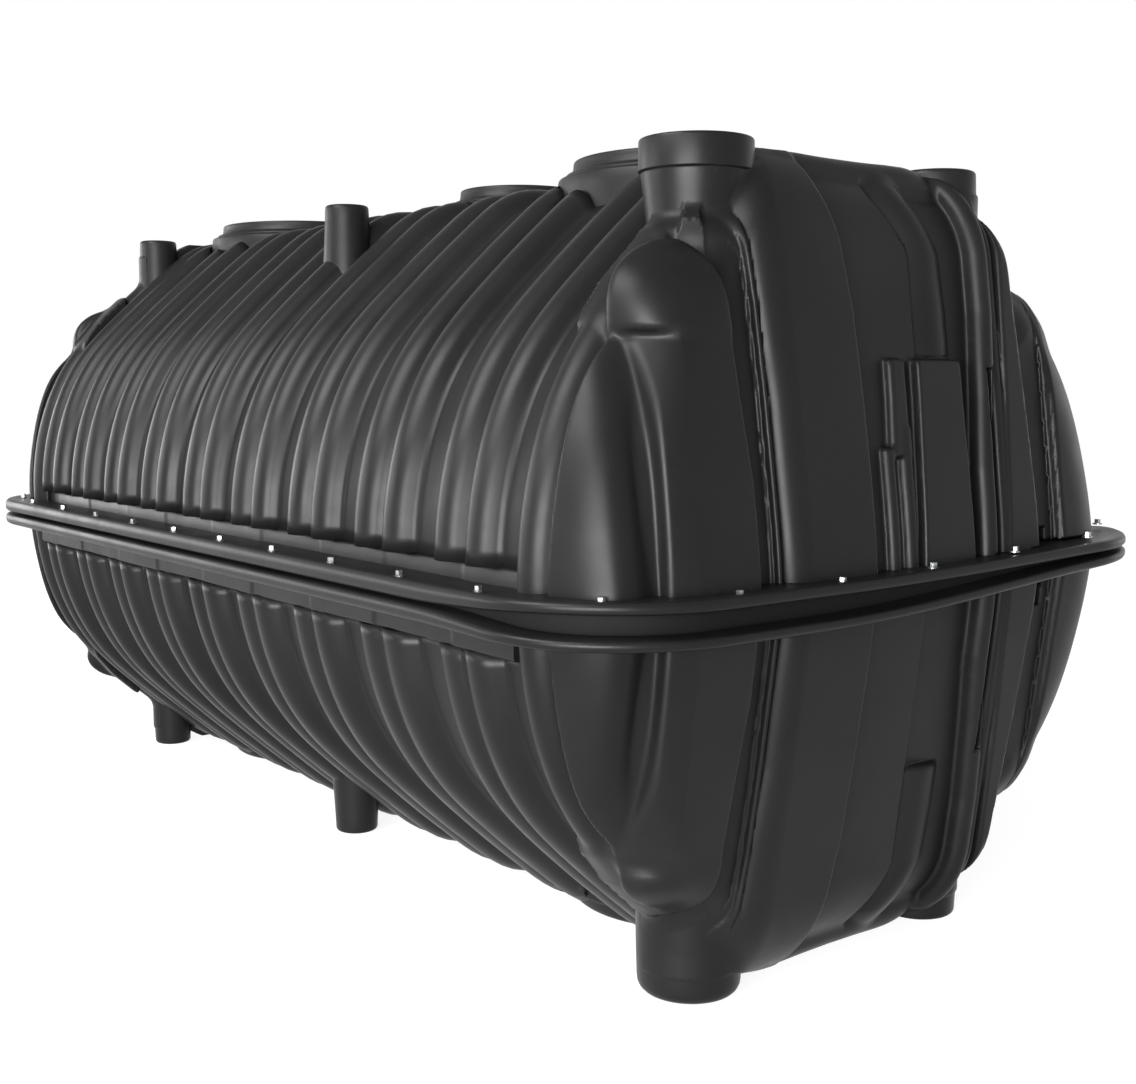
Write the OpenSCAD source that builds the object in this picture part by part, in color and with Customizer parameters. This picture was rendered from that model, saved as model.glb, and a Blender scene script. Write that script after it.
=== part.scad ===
// Underground septic tank of two moulded half shells that meet at a flanged seam.
// X runs along the tank with the front end at +X, Y across it and Z up.
// The origin is under the middle of the tank, at the level of its feet.
// The two halves mirror each other about the middle of the height, and the seam lies a little under it.

/* [Tank] */
// Length over the seam flange
tank_l = 3250; // [3000:10:3600]
// Width over the seam flange
tank_w = 1790; // [1650:10:1950]
// Straight height of the side wall under the arch of the barrel
arch_lift = 34; // [20:1:60]
// How far the feet and bosses reach past the crown of the barrel
foot_drop = 6; // [2:1:30]
// Thickness of the moulded wall
wall = 12; // [8:1:18]

/* [Seam] */
// Width of the flange outside the side walls
lip_w = 85; // [60:1:110]
// Width of the flange outside the end walls
end_lip_w = 62; // [45:1:90]
// How far the seam lies under the middle of the height
seam_drop = 28; // [0:1:34]
// Thickness of each flange lip
lip_t = 24; // [14:1:30]
// Gap between the two lips
lip_gap = 26; // [12:1:36]
// Corner radius of the flange in plan
lip_corner_r = 326; // [260:1:400]
// Height of the plain band over the upper lip, where the ribs stop, and of the one under the lower lip
upper_band_h = 31; // [26:1:60]
lower_band_h = 60; // [30:1:80]
// How far the plain band stands out from the ribs
skirt_out = 3; // [1:1:8]
// How far the gasket stays back from the edge of the lips
gasket_inset = 30; // [15:1:45]
// How far the lips reach in past the shell
ledge_w = 20; // [10:1:40]
// Corner radius of the opening inside the lips
ledge_corner_r = 210; // [150:1:220]

/* [Ribs] */
// Number of rib pairs along the barrel
rib_pairs = 9; // [7:1:9]
// Distance of the first and the last rib of the barrel from its rear and front ends
rib_rear_in = 5; // [2:1:20]
rib_front_in = 85; // [60:1:100]
// Distance between the two ribs of a pair
rib_gap = 106; // [98:1:120]
// Radius of the round ribs
rib_r = 48; // [40:1:48]
// Height of the ribs over the panels between them
rib_h = 40; // [25:1:44]

/* [Ends] */
// Length of an end cap, from its face at the seam back to the barrel
end_l = 239; // [232:1:250]
// How far the sides of an end cap lie inside the tops of the ribs
cap_inset = 26; // [20:1:34]
// How far the end wall leans in over its height
end_lean = 110; // [60:1:150]
// Radius that turns the end wall into the roof
end_round = 215; // [150:1:230]
// Radius that turns the end wall into the side walls
dome_round = 230; // [180:1:240]
// Height of the flat panels and facets on the ends
relief = 34; // [20:1:40]
// Height of the round ribs on the ends
rib_relief = 42; // [30:1:50]

/* [End layout, as distances from the centre line] */
// Middle and width of the round rib that runs into the large post
rib_a_y = 346; // [342:1:350]
rib_a_w = 60; // [54:1:64]
// Outer and inner edge of the wide flat panel
panel_out_y = 314; // [310:1:316]
panel_in_y = 116; // [105:1:130]
// Thin fin beside the round rib, and its height
fin_y = 386; // [384:1:400]
fin_w = 10; // [8:1:12]
fin_relief = 22; // [15:1:30]
// Top of the raised pad over the seam, and its two edges
pad_top = 450; // [400:5:500]
pad_left_y = 26; // [22:1:40]
pad_right_y = 196; // [160:1:204]
// Height of the strip over the two pipes, and its edges
strip_z = 270; // [240:5:300]
strip_out_y = 66; // [62:1:80]
strip_in_y = 26; // [20:1:32]
// Radius and places of the two upright pipes beside the pad
pipe_r = 17; // [14:1:18]
pipe_out_y = 45; // [42:1:50]
pipe_in_y = 2; // [0:1:4]
// Middle and width of the rib over the pad
rib_b_y = 112; // [104:1:116]
rib_b_w = 100; // [80:1:120]
// Thin strip beside the pad
side_strip_in_y = 212; // [208:1:216]
side_strip_out_y = 240; // [230:1:246]
// Inner and outer edge of the rib on the right
rib_c_in_y = 255; // [250:1:260]
rib_c_out_y = 325; // [315:1:335]
// Outer edge of the facet on the right
facet_c_y = 446; // [430:1:460]

/* [Corners] */
// Height of the rounded lobe at each corner
lobe_relief = 34; // [25:1:44]
// Distance in from the side of the end: the lobe beside a facet, and the one that stands alone
lobe_in = 110; // [104:1:116]
lone_lobe_in = 238; // [220:1:244]
// Upright ridge beside the lobe, measured the same way, and its height
ridge_in = 126; // [122:1:132]
ridge_w = 46; // [40:1:60]
ridge_relief = 40; // [36:1:44]
// Height of the web between the lobe and the ridge
web_relief = 30; // [28:1:32]
// Inner edge of the facet beside the ridge, from the centre line
facet_in_y = 462; // [455:1:470]
// Height of the shoulder that caps the lobe
shoulder_out = 74; // [60:1:80]
// Height of the hood behind the shoulder
hood_out = 42; // [36:1:50]
// Shoulder over a lobe that stands alone: its height, its height over the end wall, its inner edge
lone_shoulder_out = 58; // [50:1:70]
lone_shoulder_relief = 12; // [8:1:20]
lone_shoulder_y = 456; // [452:1:480]
// Angles round the arch where the shoulder starts, is full, ends, and where its hood begins and ends
shoulder_a = 32; // [30:1:34]
shoulder_full_a = 36; // [35:1:38]
shoulder_end_a = 44; // [42:1:46]
hood_a = 48; // [47:1:50]
hood_end_a = 58; // [56:1:60]
// Height over the seam where a lone lobe ends
lobe_top = 615; // [580:5:640]

/* [Posts] */
// Distance of the end posts from the face of the end at the seam
post_in = 224; // [219:5:274]
// Distance of the other posts from the centre line
post_y = 374; // [370:1:380]
// Distance of the middle posts behind the tank's middle
mid_post_back = 45; // [30:1:60]
// Radius of the large front left post
big_post_r = 113; // [105:1:116]
// Radius of the front right post, and its distance from the centre line
front_post_r = 98; // [90:1:102]
front_post_y = 352; // [348:1:360]
// Radius of the four small posts
small_post_r = 69; // [60:1:74]
// How much a plain post narrows towards its end
post_taper = 9; // [4:1:14]
// Round on the end of a plain post
post_edge = 6; // [3:1:9]
// Round on the end of the large foot
foot_edge = 24; // [10:1:30]
// Height of the rim on the large post
post_rim_h = 62; // [40:1:80]
// Depth of the rim over the neck under it
post_rim_t = 6; // [4:1:12]
// Height of the large post over the skirt at its foot
neck_h = 152; // [140:1:170]
// Radius of the neck where it meets the skirt
neck_r = 82; // [75:1:90]
// Radius of the skirt
skirt_r = 126; // [120:1:128]
// Thickness of the fins on the neck, how far they reach, and the height of the low one
gusset_t = 14; // [8:1:20]
gusset_r = 122; // [116:1:125]
low_gusset_h = 38; // [30:1:60]

/* [Manholes and pads] */
// Radius of the two large manhole collars
manhole_r = 268; // [230:1:275]
// Radius of the middle manhole collar
inspect_r = 160; // [120:1:190]
// How much a closed boss under the tank narrows towards its end
boss_taper = 10; // [5:1:15]
// Inner and outer edge of the pads under the ribs of the barrel
pad_in_y = 110; // [100:5:130]
pad_out_y = 280; // [260:5:300]
// Height of the collars over the post tops
collar_rise = 38; // [20:1:60]
// Width of the step round the foot of a collar
collar_step = 36; // [28:1:50]
// How much wider the hole is under the roof than in the collar
hole_relief = 6; // [2:1:10]
// How far the step round a boss, the pads, and the decks of the collars lie inside the crown
boss_ring_drop = 40; // [20:1:60]
pad_drop = 4; // [2:1:20]
deck_drop = 4; // [2:1:10]
// Distance of the front and the rear manhole from the faces of the ends at the seam
front_manhole_in = 649; // [629:5:689]
rear_manhole_in = 554; // [549:5:629]
// Place of the middle manhole along the tank
mid_manhole_x = 222; // [180:1:225]

/* [Hidden] */
$fn = 144;
barrel_r = tank_w / 2 - lip_w;
panel_r = barrel_r - rib_h;
crown = arch_lift + barrel_r;
half_h = crown + foot_drop;
lip_top = lip_gap / 2 + lip_t;
// An end cap: its front face at the seam, its radius, where it starts, and its first hoop
hoop_gap = 2;
end_x = tank_l / 2 - end_lip_w - relief;
cap_r = barrel_r - cap_inset;
cap_x = end_x - end_l;
cap_top = arch_lift + cap_r;
hoop_x = cap_x + rib_r + hoop_gap;
lean_a = atan(end_lean / cap_top);
// Middles of the rib pairs, spread evenly over the barrel
rib_half_w = rib_gap / 2 + rib_r;
rib_first_x = -cap_x + rib_rear_in + rib_half_w;
rib_last_x = cap_x - rib_front_in - rib_half_w;
rib_pitch = (rib_last_x - rib_first_x) / (rib_pairs - 1);
rib_pair_x = [for (i = [0 : rib_pairs - 1]) rib_first_x + i * rib_pitch];
// Edges of the corner forms, from the centre line
lobe_y = cap_r - lobe_in;
lone_lobe_y = cap_r - lone_lobe_in;
ridge_out_y = cap_r - ridge_in;
facet_out_y = ridge_out_y - ridge_w;
post_x = end_x - post_in;
front_manhole_x = end_x - front_manhole_in;
rear_manhole_x = rear_manhole_in - end_x;
// Level of the flat decks that the collars stand on, which all forms on the ends stay under
deck_z = crown - deck_drop;
// How far the round of the end wall passes over the arch, so that the two never just touch
round_over = 12;
collar_top = half_h + collar_rise;
// Forms that stand on the shell start at this level, well inside it
root_z = half_h / 2;
pad_z = crown - pad_drop;
boss_ring_z = crown - boss_ring_drop;
far = 2 * tank_l;
eps = 1;

tank_black = [0.09, 0.09, 0.10];

// ---- Forms that more than one sub-part uses ----

// Turns a profile whose x is a radius and whose y runs along the tank into an arch
module arch() translate([0, 0, arch_lift]) rotate([90, 0, 90]) rotate_extrude(angle = 180) children();

// Rounded rectangle in plan, grown by d
module plan(l, w, r, d = 0) {
    r1 = r + d;
    x1 = l / 2 + d - r1;
    y1 = w / 2 + d - r1;
    union() {
        square([2 * x1, w + 2 * d], center = true);
        square([l + 2 * d, 2 * y1], center = true);
        for (sx = [-1, 1], sy = [-1, 1]) translate([sx * x1, sy * y1]) circle(r1);
    }
}

// Ribbed outline of the barrel, inset from its outside
module barrel_outline(inset, over = 0) {
    translate([0, -cap_x - over]) square([panel_r - inset, 2 * (cap_x + over)]);
    for (x = rib_pair_x, side = [-1, 1])
        translate([barrel_r - rib_r, x + side * rib_gap / 2]) circle(rib_r - inset);
}
module barrel_wall_outline() difference() {
    barrel_outline(0);
    barrel_outline(wall, eps);
}

// Solid outer form of one end cap, grown by d: a round arch, a leaning end wall, round corners
module cap_form(d) intersection() {
    union() {
        arch() dome_outline(d);
        linear_extrude(arch_lift) for (side = [0, 1])
            mirror([0, side]) rotate(-90) dome_outline(d);
    }
    rotate([90, 0, 0]) linear_extrude(tank_w, center = true) end_side(d);
}
// Half outline of the arch over the end: its radius rounds off into the end wall
module dome_outline(d) {
    square([cap_r - dome_round, end_x + d]);
    square([cap_r + d, end_x - dome_round]);
    translate([cap_r - dome_round, end_x - dome_round]) circle(dome_round + d);
}
// Side view of an end cap, grown by d: the wall leans in and a round turns it into the roof
module end_side(d) {
    r = end_round + d;
    zc = cap_top - end_round + round_over;
    xc = end_x - zc * tan(lean_a) - end_round / cos(lean_a);
    polygon([[0, 0], [end_x + d / cos(lean_a), 0],
        [xc + r * cos(lean_a), zc + r * sin(lean_a)], [xc, zc + r], [0, zc + r]]);
    translate([xc, zc]) circle(r);
}
// Everything of the half shell that posts and collars must stay out of
module shell_form() {
    arch() barrel_outline(0);
    cap_form(0);
    rear() cap_form(0);
}
// Upright slab over an end, between two distances from the centre line and two levels
module slab(y0, y1, z0 = 0, z1 = deck_z) {
    z = max(z0, $base);
    translate([hoop_x, y0, z]) cube([far, y1 - y0, z1 - z]);
}

// A point on the arch of an end cap at angle a over the seam, raised by d
function on_arch(d, a) = [-(cap_r + d) * cos(a), arch_lift + (cap_r + d) * sin(a)];

// Outer form of a plain post: it narrows to a rounded end
module stub_form(r, edge) rotate_extrude() {
    r1 = r - post_taper;
    polygon([[0, root_z], [r, root_z], [r, half_h - neck_h], [r1, half_h - edge], [0, half_h - edge]]);
    translate([0, root_z]) square([r1 - edge, half_h - root_z]);
    translate([r1 - edge, half_h - edge]) circle(edge);
}
// Outer form of the large post: a rim on a neck that widens towards it, a skirt and fins
module rimmed_form(r) {
    rim_z = half_h - post_rim_h;
    neck_z = half_h - neck_h;
    rotate_extrude() polygon([
        [0, root_z], [skirt_r, root_z], [skirt_r, neck_z - 2 * post_edge],
        [skirt_r - 2 * post_edge, neck_z], [neck_r, neck_z], [r - post_rim_t, rim_z], [r, rim_z],
        [r, half_h - post_edge], [r - post_edge, half_h], [0, half_h]
    ]);
    for (a = [45, 225]) rotate([0, 0, a]) translate([0, gusset_t / 2, 0]) rotate([90, 0, 0])
        linear_extrude(gusset_t) polygon([
            [0, neck_z - eps], [gusset_r, neck_z - eps], [r - eps, rim_z + eps], [0, rim_z + eps]
        ]);
    rotate([0, 0, -45]) translate([0, gusset_t / 2, 0]) rotate([90, 0, 0])
        linear_extrude(gusset_t) polygon([
            [0, neck_z - eps], [gusset_r, neck_z - eps],
            [neck_r, neck_z + low_gusset_h], [0, neck_z + low_gusset_h]
        ]);
}
// The two posts over an end: its left one may be the large one
module posts_form(left_r, right_r, rimmed = false) {
    translate([post_x, -side_of(left_r), 0])
        if (rimmed) rimmed_form(left_r); else stub_form(left_r, post_end(left_r));
    translate([post_x, side_of(right_r), 0]) stub_form(right_r, post_end(right_r));
}
function post_end(r) = r == big_post_r ? foot_edge : post_edge;
function side_of(r) = r == front_post_r ? front_post_y : post_y;

// ---- Sub-parts of one half, with the middle of the height at z = 0 ----
// $base is the level where the shell stands on its lip, and $band the height of the plain band there

module half_barrel() difference() {
    arch() barrel_wall_outline();
    translate([-tank_l / 2, -tank_w / 2, -eps]) cube([tank_l, tank_w, $base + $band + eps]);
    for (m = manholes()) translate([m[0], 0, root_z]) cylinder(r = m[1] + collar_step, h = half_h);
}
function manholes() = [
    [front_manhole_x, manhole_r], [mid_manhole_x, inspect_r], [rear_manhole_x, manhole_r]
];

module half_side_bands() for (side = [0, 1]) mirror([0, side, 0])
    translate([-cap_x, panel_r - wall, $base])
        cube([2 * cap_x, rib_h + wall + skirt_out, $band]);

module half_end() difference() {
    cap_form(0);
    cap_form(-wall);
    translate([-eps, -tank_w, -eps]) cube([cap_x + eps, 2 * tank_w, 2 * crown]);
    translate([-eps, -tank_w, -eps]) cube([tank_l, 2 * tank_w, $base + eps]);
}

// Ribs and flat panels of an end, between its two corners
module half_end_ribs(left_r, right_r, rimmed = false) difference() {
    union() {
        intersection() {
            cap_form(rib_relief);
            union() {
                slab(-rib_a_y - rib_a_w / 2, -rib_a_y + rib_a_w / 2);
                slab(rib_c_in_y, rib_c_out_y);
            }
        }
        intersection() {
            cap_form(relief);
            union() {
                slab(-panel_out_y, -panel_in_y);
                slab(pad_left_y, pad_right_y, z1 = pad_top);
                slab(-strip_out_y, -strip_in_y, strip_z, pad_top);
                slab(rib_b_y - rib_b_w / 2, rib_b_y + rib_b_w / 2, pad_top - eps);
                slab(rib_c_out_y - eps, facet_c_y);
            }
        }
        pipes();
        difference() {
            union() {
                intersection() {
                    cap_form(fin_relief);
                    union() {
                        slab(-fin_y - fin_w / 2, -fin_y + fin_w / 2);
                        slab(side_strip_in_y, side_strip_out_y);
                    }
                }
                hoop();
            }
            if (rimmed) translate([post_x, -post_y, half_h - neck_h])
                cylinder(r = skirt_r, h = neck_h);
        }
    }
    cap_form(0);
    posts_form(left_r, right_r, rimmed);
}

// The two upright pipes beside the pad lean back with the end wall
module pipes() intersection() {
    for (y = [-pipe_out_y, -pipe_in_y])
        translate([end_x + pipe_r / 2, y, 0]) rotate([0, -lean_a, 0]) cylinder(r = pipe_r, h = strip_z);
    slab(-tank_w, tank_w);
}

// Round rib that goes over the arch where the end cap begins
module hoop() difference() {
    union() {
        arch() translate([barrel_r - rib_r, hoop_x]) circle(rib_r);
        for (side = [-1, 1]) translate([hoop_x, side * (barrel_r - rib_r), 0])
            cylinder(r = rib_r, h = arch_lift);
    }
    translate([0, -tank_w, -eps]) cube([tank_l, 2 * tank_w, $base + eps]);
}

// Tall pilaster at a corner of an end: a round lobe, a ridge, a facet and the shoulder over them
module half_corner(post_r, rimmed = false) difference() {
    union() {
        intersection() {
            cap_form(lobe_relief);
            slab(-tank_w, -lobe_y, z1 = shoulder_z + rib_h);
        }
        intersection() {
            cap_form(ridge_relief);
            slab(-ridge_out_y, -facet_out_y, z1 = shoulder_z + rib_h);
        }
        intersection() {
            cap_form(relief);
            slab(-facet_out_y - eps, -facet_in_y);
        }
        intersection() {
            cap_form(web_relief);
            slab(-lobe_y - eps, -ridge_out_y + eps, z1 = shoulder_z + rib_h);
        }
        shoulder(shoulder_out, relief, facet_in_y);
    }
    cap_form(0);
    hoop();
    posts_form(post_r, post_r, rimmed);
}
shoulder_z = on_arch(lobe_relief, shoulder_a)[1];

// Shoulder: a block round the arch that drops to a hood and meets the post
module shoulder(out, front_out, inner_y) intersection() {
    translate([hoop_x, 0, 0]) rotate([90, 0, 90]) linear_extrude(far) intersection() {
        polygon([
            on_arch(-relief, shoulder_a), on_arch(lobe_relief, shoulder_a),
            on_arch(out, shoulder_full_a), on_arch(out, shoulder_end_a),
            on_arch(hood_out, hood_a), on_arch(relief, hood_end_a), on_arch(-relief, hood_end_a)
        ]);
        translate([-tank_w, 0]) square([tank_w - inner_y, tank_w]);
    }
    rotate([90, 0, 0]) linear_extrude(tank_w, center = true) end_side(front_out);
}

// Lobe of the corner beside the right facet, which stands alone
module half_lone_corner(post_r) difference() {
    union() {
        intersection() {
            cap_form(lobe_relief);
            slab(-tank_w, -lone_lobe_y, z1 = lobe_top);
        }
        shoulder(lone_shoulder_out, lone_shoulder_relief, lone_shoulder_y);
    }
    cap_form(0);
    hoop();
    posts_form(post_r, post_r);
}

// Stub post that narrows to a rounded end
module post(x, y, r) difference() {
    translate([x, y, 0]) stub_form(r, post_end(r));
    translate([x, y, root_z - eps]) cylinder(r = r - post_taper - wall, h = half_h - root_z - wall);
    shell_form();
}
module rimmed_post(x, y, r) difference() {
    translate([x, y, 0]) rimmed_form(r);
    translate([x, y, root_z - eps]) cylinder(r = neck_r - wall, h = half_h - root_z - wall);
    shell_form();
}

module collar(x, r) difference() {
    union() {
        translate([x, 0, root_z]) cylinder(r = r + collar_step, h = deck_z - root_z);
        translate([x, 0, root_z]) cylinder(r = r, h = collar_top - root_z);
    }
    translate([x, 0, 0]) cylinder(r = r - wall, h = 2 * half_h);
    translate([x, 0, 0]) cylinder(r = r - wall + hole_relief, h = arch_lift + panel_r - wall);
    bore();
}
// Room inside the barrel that collars and bosses stay out of
module bore() translate([-tank_l / 2, 0, arch_lift]) rotate([0, 90, 0])
    cylinder(r = panel_r - wall, h = tank_l);

module boss(x, r) difference() {
    union() {
        translate([x, 0, root_z]) cylinder(r = r + collar_step, h = boss_ring_z - root_z);
        translate([x, 0, root_z]) cylinder(r1 = r + 2 * boss_taper, r2 = r, h = half_h - root_z);
    }
    translate([x, 0, root_z])
        cylinder(r1 = r + 2 * boss_taper - wall, r2 = r - wall, h = half_h - wall - root_z);
    bore();
}

module pads() difference() {
    for (x = rib_pair_x, side = [0, 1]) mirror([0, side, 0])
        translate([x - rib_half_w, pad_in_y, root_z])
            cube([2 * rib_half_w, pad_out_y - pad_in_y, pad_z - root_z]);
    arch() barrel_outline(0);
    for (m = manholes()) translate([m[0], 0, 0]) cylinder(r = m[1] + collar_step, h = 2 * half_h);
    for (side = [-1, 1]) translate([-mid_post_back, side * post_y, 0])
        stub_form(small_post_r, post_edge);
}

module lip_opening() plan(
    2 * (end_x - wall - ledge_w), 2 * (panel_r - wall - ledge_w), ledge_corner_r);

module half_flange() translate([0, 0, $base - lip_t]) linear_extrude(lip_t) difference() {
    plan(tank_l, tank_w, lip_corner_r);
    lip_opening();
}

module gasket() linear_extrude(lip_gap, center = true) difference() {
    plan(tank_l, tank_w, lip_corner_r, -gasket_inset);
    lip_opening();
}

// ---- Placing ----

module upper() {
    $base = lip_top - seam_drop;
    $band = upper_band_h;
    color(tank_black) translate([0, 0, half_h]) children();
}
module lower() {
    $base = lip_top + seam_drop;
    $band = lower_band_h;
    color(tank_black) translate([0, 0, half_h]) mirror([0, 0, 1]) children();
}
module rear() mirror([1, 0, 0]) children();
module right() mirror([0, 1, 0]) children();

module upper_barrel() upper() half_barrel();
module upper_side_bands() upper() half_side_bands();
module upper_front_end() upper() half_end();
module upper_rear_end() upper() rear() half_end();
module upper_front_ribs() upper() half_end_ribs(big_post_r, front_post_r, rimmed = true);
module upper_rear_ribs() upper() rear() half_end_ribs(small_post_r, small_post_r);
module upper_flange() upper() half_flange();
module upper_front_left_corner() upper() half_corner(big_post_r, rimmed = true);
module upper_front_right_corner() upper() right() half_lone_corner(front_post_r);
module upper_rear_left_corner() upper() rear() half_corner(small_post_r);
module upper_rear_right_corner() upper() rear() right() half_lone_corner(small_post_r);
module front_left_post() upper() rimmed_post(post_x, -post_y, big_post_r);
module front_right_post() upper() post(post_x, front_post_y, front_post_r);
module middle_left_post() upper() post(-mid_post_back, -post_y, small_post_r);
module middle_right_post() upper() post(-mid_post_back, post_y, small_post_r);
module rear_left_post() upper() post(-post_x, -post_y, small_post_r);
module rear_right_post() upper() post(-post_x, post_y, small_post_r);
module lower_barrel() lower() half_barrel();
module lower_side_bands() lower() half_side_bands();
module lower_front_end() lower() half_end();
module lower_rear_end() lower() rear() half_end();
module lower_front_ribs() lower() half_end_ribs(big_post_r, front_post_r);
module lower_rear_ribs() lower() rear() half_end_ribs(small_post_r, small_post_r);
module lower_flange() lower() half_flange();
module lower_front_left_corner() lower() half_corner(big_post_r);
module lower_front_right_corner() lower() right() half_lone_corner(front_post_r);
module lower_rear_left_corner() lower() rear() half_corner(small_post_r);
module lower_rear_right_corner() lower() rear() right() half_lone_corner(small_post_r);
module front_left_foot() lower() post(post_x, -post_y, big_post_r);
module front_right_foot() lower() post(post_x, front_post_y, front_post_r);
module middle_left_foot() lower() post(-mid_post_back, -post_y, small_post_r);
module middle_right_foot() lower() post(-mid_post_back, post_y, small_post_r);
module rear_left_foot() lower() post(-post_x, -post_y, small_post_r);
module rear_right_foot() lower() post(-post_x, post_y, small_post_r);
module front_manhole_collar() upper() collar(front_manhole_x, manhole_r);
module middle_manhole_collar() upper() collar(mid_manhole_x, inspect_r);
module rear_manhole_collar() upper() collar(rear_manhole_x, manhole_r);
module front_boss() lower() boss(front_manhole_x, manhole_r);
module middle_boss() lower() boss(mid_manhole_x, inspect_r);
module rear_boss() lower() boss(rear_manhole_x, manhole_r);
module keel_pads() lower() pads();
module crown_pads() upper() pads();
module seam_gasket() color([0.03, 0.03, 0.03]) translate([0, 0, half_h - seam_drop]) gasket();

upper_barrel();
upper_side_bands();
upper_front_end();
upper_rear_end();
upper_front_ribs();
upper_rear_ribs();
upper_flange();
seam_gasket();
upper_front_left_corner();
upper_front_right_corner();
upper_rear_left_corner();
upper_rear_right_corner();
front_left_post();
front_right_post();
middle_left_post();
middle_right_post();
rear_left_post();
rear_right_post();
front_manhole_collar();
middle_manhole_collar();
rear_manhole_collar();
crown_pads();
lower_barrel();
lower_side_bands();
lower_front_end();
lower_rear_end();
lower_front_ribs();
lower_rear_ribs();
lower_flange();
keel_pads();
lower_front_left_corner();
lower_front_right_corner();
lower_rear_left_corner();
lower_rear_right_corner();
front_left_foot();
front_right_foot();
middle_left_foot();
middle_right_foot();
rear_left_foot();
rear_right_foot();
front_boss();
middle_boss();
rear_boss();
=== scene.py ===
"""Finished surfaces of an underground septic tank of two moulded half shells, built round its solids."""

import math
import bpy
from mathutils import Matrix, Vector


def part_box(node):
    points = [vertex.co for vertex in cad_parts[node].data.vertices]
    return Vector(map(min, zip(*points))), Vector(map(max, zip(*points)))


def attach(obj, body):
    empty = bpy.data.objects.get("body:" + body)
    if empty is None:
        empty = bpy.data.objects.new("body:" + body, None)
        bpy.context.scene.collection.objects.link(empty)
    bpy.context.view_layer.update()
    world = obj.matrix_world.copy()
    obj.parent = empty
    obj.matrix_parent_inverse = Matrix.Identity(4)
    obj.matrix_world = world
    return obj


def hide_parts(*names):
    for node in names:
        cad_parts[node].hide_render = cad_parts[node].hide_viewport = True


bl_info = {
    "name": "Septic Tank Shell",
    "version": (1, 0, 0),
    "blender": (4, 5, 0),
    "location": "3D View > Sidebar > Tank",
    "description": "Ribbed half shells, end walls, flanged seam, collars, posts and bolts of a septic tank",
    "category": "Add Mesh",
}

import bpy
import numpy as np
from mathutils import Vector

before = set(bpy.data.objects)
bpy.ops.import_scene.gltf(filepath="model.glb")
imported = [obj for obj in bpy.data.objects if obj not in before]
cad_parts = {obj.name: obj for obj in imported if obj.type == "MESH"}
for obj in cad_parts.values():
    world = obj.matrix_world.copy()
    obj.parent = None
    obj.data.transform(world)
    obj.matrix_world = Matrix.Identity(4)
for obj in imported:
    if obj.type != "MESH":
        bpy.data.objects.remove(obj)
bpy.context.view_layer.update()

# ---- Measures taken from the solids, in metres ----


def high(node, axis):
    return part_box(node)[1][axis]


def low(node, axis):
    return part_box(node)[0][axis]


def middle(node, axis):
    return (high(node, axis) + low(node, axis)) / 2


HALF_H = high("middle_left_post", 2) / 2
EDGE_X, EDGE_Y = high("upper_flange", 0), high("upper_flange", 1)
# Radius of the corners of the lips
EDGE_R = 0.326
BARREL_R = high("upper_barrel", 1)
LIFT = high("upper_barrel", 2) - HALF_H - BARREL_R
CROWN = LIFT + BARREL_R
CAP_X = high("upper_barrel", 0)
CAP_R = BARREL_R - 0.026
END_X = high("upper_front_end", 0)
# Ribs: radius, height over the barrel, and distance between the two of a pair
RIB_R, RIB_H, RIB_GAP = 0.048, 0.040, 0.106
# Middle of the hoop where a cap meets the barrel, and the thickness of the shell
HOOP_X = CAP_X + RIB_R - 0.014
WALL = 0.012
# Heights from the middle of each half's flange and of its side bands
BASE = {"upper": high("upper_flange", 2) - HALF_H, "lower": HALF_H - low("lower_flange", 2)}
BAND = {"upper": high("upper_side_bands", 2) - HALF_H, "lower": HALF_H - low("lower_side_bands", 2)}
SIGN = {"upper": 1, "lower": -1}
SEAM_Z = middle("seam_gasket", 2) - HALF_H
# Width of the step round a manhole's collar
RING_W = 0.036
# Arch: full at the edge of the deck, flat below it; each is how much, at what angle, how wide
DECK_FULL, SIDE_FLAT = (0.040, 1.264, 0.16), (0.024, 0.82, 0.24)
# Rise of the seam towards the right of the front end: how much, and from where to where on x and y
RISE, RISE_X, RISE_Y = 0.042, (1.1, 1.5), (-0.3, 0.9)
# Heights from the middle at which collars and bosses end inside the shell, and the ledge in a collar
INSIDE_Z, LEDGE_Z = 0.690, 0.745
# Hair's breadth that keeps soles off the floor, and turned forms open at their middle
HAIR = 0.0005
# Ranges across an end wall where its narrow forms need finer cells
FINE_Y = ((-0.665, -0.630), (-0.500, -0.300), (-0.18, -0.10), (-0.07, 0.09), (0.18, 0.21), (0.24, 0.36))
MANHOLES = {n: (middle(n + "_manhole_collar", 0), high(n + "_manhole_collar", 1) - RING_W)
            for n in ("front", "middle", "rear")}
COLLAR_TOP = high("front_manhole_collar", 2) - HALF_H
POST_TOP = high("front_left_post", 2) - HALF_H


def post_of(node):
    """Place and radius of a plain post or foot, from its solid."""
    lo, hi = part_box(node)
    return (lo[0] + hi[0]) / 2, (lo[1] + hi[1]) / 2, (hi[0] - lo[0]) / 2 + 0.001


# ---- Fields: the distance to a form's surface, less than nothing inside it ----


def soft_min(a, b, k):
    h = np.maximum(k - np.abs(a - b), 0) / k
    return np.minimum(a, b) - h * h * k / 4


def soft_max(a, b, k):
    return -soft_min(-a, -b, k)


def smooth_step(lo, hi, v):
    t = np.clip((v - lo) / (hi - lo), 0, 1)
    return t * t * (3 - 2 * t)


def bump(v, at, width):
    return np.exp(-((v - at) / width) ** 2)


def fullness(angle):
    """How far the arch stands out at an angle over the seam: full at the edge of the deck, flat below it."""
    return 1 + DECK_FULL[0] * bump(angle, *DECK_FULL[1:]) - SIDE_FLAT[0] * bump(angle, *SIDE_FLAT[1:])


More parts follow.
